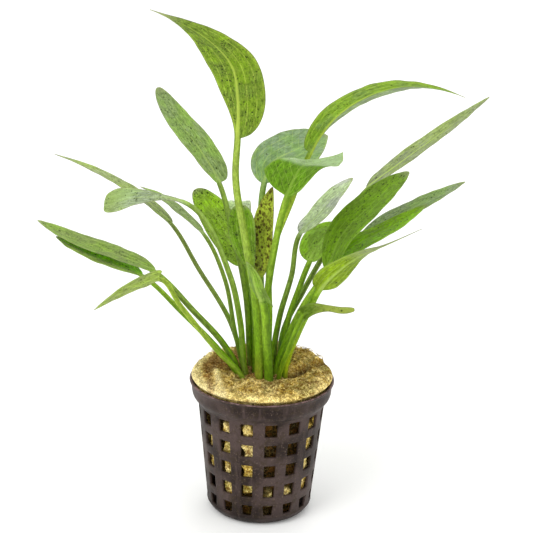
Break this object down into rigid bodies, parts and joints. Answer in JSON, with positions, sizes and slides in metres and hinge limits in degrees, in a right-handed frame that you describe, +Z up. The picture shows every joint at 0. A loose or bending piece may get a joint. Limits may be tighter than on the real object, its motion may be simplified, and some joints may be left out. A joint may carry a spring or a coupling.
{
  "type": "potted amazon sword plant",
  "caption": "Young aquarium sword plant with stalked, pointed leaves in a rosette, rooted in a rock wool plug in a small net pot.",
  "frame": {"origin": "centre of the pot's underside, where it rests on the ground", "axes": "+Z up; -Y is the front, the side the picture shows; +X to the right as seen from the front"},
  "size_m": [0.1627, 0.0931, 0.1881],
  "materials": {
    "pot_plastic": "satin",
    "rock_wool": "matte",
    "leaf_yellow_green": "satin",
    "leaf_bright_green": "satin",
    "leaf_deep_green": "satin",
    "leaf_light_green": "satin",
    "leaf_grey_green": "satin",
    "leaf_blue_green": "satin",
    "leaf_pale_green": "satin",
    "leaf_olive_green": "satin",
    "leaf_brown_green": "satin"
  },
  "bodies": {
    "root": {"net_pot": "pot_plastic", "wool_plug": "rock_wool", "leaf_top_tall": "leaf_yellow_green", "leaf_upper_left": "leaf_grey_green", "leaf_far_left": "leaf_olive_green", "leaf_spoon_left": "leaf_pale_green", "leaf_thin_left": "leaf_grey_green", "leaf_big_left": "leaf_grey_green", "leaf_under_left": "leaf_deep_green", "leaf_droop_left": "leaf_light_green", "leaf_broad_left": "leaf_bright_green", "leaf_small_spotted": "leaf_bright_green", "leaf_brown_spotted": "leaf_brown_green", "leaf_short_front": "leaf_bright_green", "leaf_round_back": "leaf_blue_green", "leaf_heart_centre": "leaf_deep_green", "leaf_arch_right": "leaf_yellow_green", "leaf_long_right": "leaf_olive_green", "leaf_broad_right": "leaf_deep_green", "leaf_dark_right": "leaf_blue_green", "leaf_low_right": "leaf_deep_green", "leaf_edge_right": "leaf_bright_green", "leaf_lowest_right": "leaf_bright_green", "leaf_pale_right": "leaf_pale_green", "leaf_hidden_right": "leaf_bright_green", "leaf_thin_back": "leaf_pale_green"}
  },
  "joints": []
}
